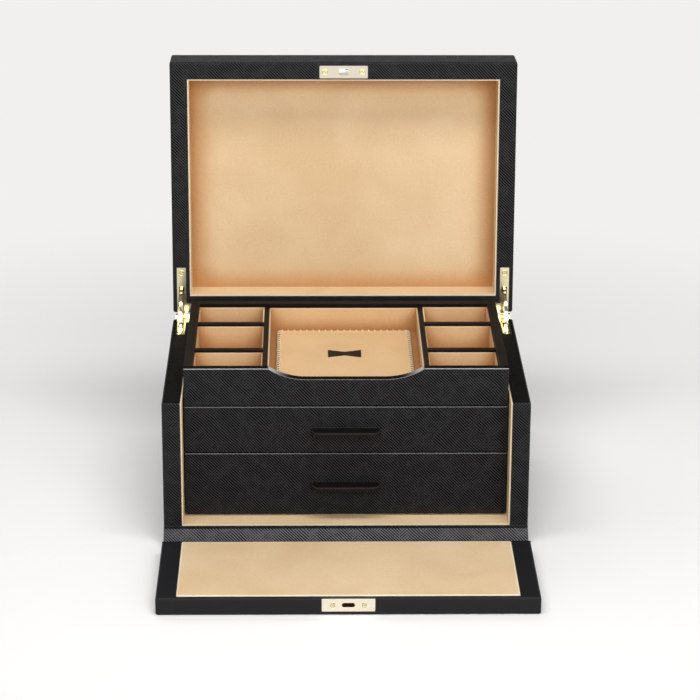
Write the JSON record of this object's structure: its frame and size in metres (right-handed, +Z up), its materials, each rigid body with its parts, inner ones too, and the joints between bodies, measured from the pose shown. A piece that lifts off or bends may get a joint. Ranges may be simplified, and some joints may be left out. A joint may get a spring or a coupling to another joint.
{
  "type": "cufflink box with drawers",
  "caption": "Leather-covered cufflink box with a quadrant-hinged lid, a drop-front flap, suede-lined drawers and a lift-out compartment tray.",
  "frame": {"origin": "centre of the underside of the closed box, on the surface it stands on", "axes": "+Z up, +X to the right seen from the front, -Y out of the front; the lid is open and the front flap lies open on the surface"},
  "size_m": [0.26, 0.346, 0.3044],
  "materials": {
    "board": "plain fibreboard, unfinished",
    "black_leather": "black cross-grained calf leather",
    "covered_board": "board wrapped in black cross-grained leather",
    "tan_suede": "tan suede on card",
    "suede_pad": "tan suede over a thin foam pad",
    "black_felt": "black felt",
    "pale_brass": "pale polished brass",
    "brass_pins": "pale brass, turned",
    "lock_steel": "plain steel"
  },
  "bodies": {
    "case": {"base_board": "board", "case_left_wall": "board", "case_right_wall": "board", "case_back_wall": "board", "case_leather_cover": "black_leather", "base_felt": "black_felt", "base_hinge_leather": "black_leather", "floor_lining": "tan_suede", "wall_linings": "tan_suede", "drawer_shelf": "covered_board", "tray_shelf": "covered_board", "case_hinge_leaves": "pale_brass", "hinge_pins": "brass_pins", "case_leaf_screws": "brass_pins"},
    "stays": {"quadrant_stays": "pale_brass"},
    "lid": {"lid_top_board": "board", "lid_front_rail": "board", "lid_back_rail": "board", "lid_left_rail": "board", "lid_right_rail": "board", "lid_leather_cover": "black_leather", "lid_panel_pad": "suede_pad", "lid_side_linings": "tan_suede", "lid_hinge_leaves": "pale_brass", "lid_lock_plate": "pale_brass", "lid_keeper": "pale_brass", "lid_screws": "brass_pins"},
    "flap": {"flap_board": "board", "flap_leather_cover": "black_leather", "flap_lining": "tan_suede", "flap_hinge_leather": "black_leather", "lock_plate": "pale_brass", "lock_case": "lock_steel", "lock_screws": "brass_pins", "key_escutcheon": "pale_brass"},
    "bolt": {"lock_bolt": "lock_steel"},
    "lower_drawer": {"lower_drawer_front": "covered_board", "lower_drawer_left_side": "board", "lower_drawer_right_side": "board", "lower_drawer_back": "board", "lower_drawer_bottom": "board", "lower_drawer_lining": "tan_suede", "lower_drawer_pull": "black_leather"},
    "upper_drawer": {"upper_drawer_front": "covered_board", "upper_drawer_left_side": "board", "upper_drawer_right_side": "board", "upper_drawer_back": "board", "upper_drawer_bottom": "board", "upper_drawer_lining": "tan_suede", "upper_drawer_pull": "black_leather"},
    "tray": {"tray_front": "covered_board", "tray_back": "covered_board", "tray_left_wall": "covered_board", "tray_right_wall": "covered_board", "tray_bottom": "covered_board", "tray_long_dividers": "covered_board", "tray_cross_dividers": "covered_board", "tray_linings": "tan_suede", "tray_pad": "suede_pad", "bow_inlay": "black_leather"}
  },
  "joints": [
    {"name": "lid_hinge", "type": "hinge", "parent": "case", "child": "lid", "pos_m": [0, 0.1006, 0.1072], "axis": [-1, 0, 0], "range_deg": [-93, 0]},
    {"name": "stay_swing", "type": "hinge", "parent": "case", "child": "stays", "pos_m": [0, 0.1006, 0.1072], "axis": [-1, 0, 0], "range_deg": [-46.5, 0]},
    {"name": "flap_hinge", "type": "hinge", "parent": "case", "child": "flap", "pos_m": [0, -0.097, 0], "axis": [1, 0, 0], "range_deg": [-90, 0]},
    {"name": "bolt_slide", "type": "slide", "parent": "flap", "child": "bolt", "axis": [-1, 0, 0], "range_m": [0, 0.0022]},
    {"name": "lower_drawer_slide", "type": "slide", "parent": "case", "child": "lower_drawer", "axis": [0, -1, 0], "range_m": [0, 0.105]},
    {"name": "upper_drawer_slide", "type": "slide", "parent": "case", "child": "upper_drawer", "axis": [0, -1, 0], "range_m": [0, 0.105]},
    {"name": "tray_lift", "type": "slide", "parent": "case", "child": "tray", "axis": [0, 0, 1], "range_m": [0, 0.06]}
  ],
  "couplings": [
    {"joint": "stay_swing", "follows": "lid_hinge", "ratio": 0.5}
  ]
}
